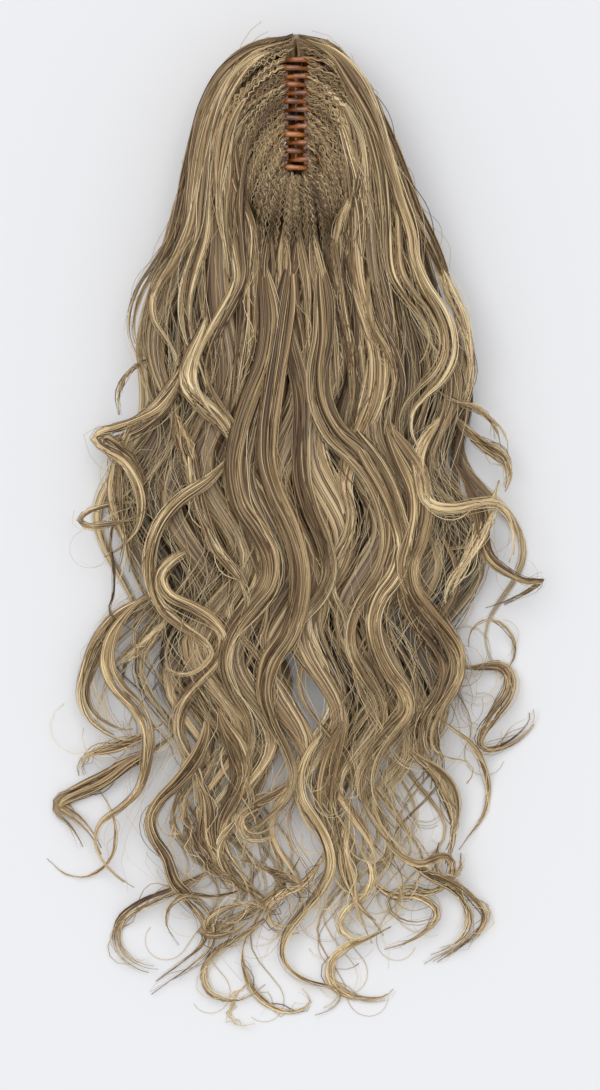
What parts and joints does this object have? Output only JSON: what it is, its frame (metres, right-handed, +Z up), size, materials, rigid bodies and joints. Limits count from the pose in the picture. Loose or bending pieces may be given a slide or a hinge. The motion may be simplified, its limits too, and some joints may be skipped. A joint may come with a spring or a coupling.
{
  "type": "claw clip hairpiece",
  "caption": "Long wavy ponytail hairpiece on a toothed claw clip, lying with its teeth up, its tips curled and crimped hair beside the teeth.",
  "frame": {"origin": "middle of the footprint, on the surface that the hairpiece lies on", "axes": "+Y from the hair's tips to the crown, +Z up from the surface, +X to the right as the clip's teeth face the viewer"},
  "size_m": [0.3062, 0.603, 0.0468],
  "materials": {
    "jaw": "amber tortoiseshell plastic, polished",
    "steel": "bright drawn wire",
    "hair": "dark blond fibre with golden streaks, satin",
    "crimp": "crimped dark blond fibre, dull"
  },
  "bodies": {
    "root": {"jaw_left": "jaw", "jaw_right": "jaw", "hinge_pin": "steel", "spring": "steel", "fall_centre": "hair", "fall_left": "hair", "fall_right": "hair", "curtain_left": "hair", "curtain_right": "hair", "crimp_left": "crimp", "crimp_right": "crimp"}
  },
  "joints": []
}
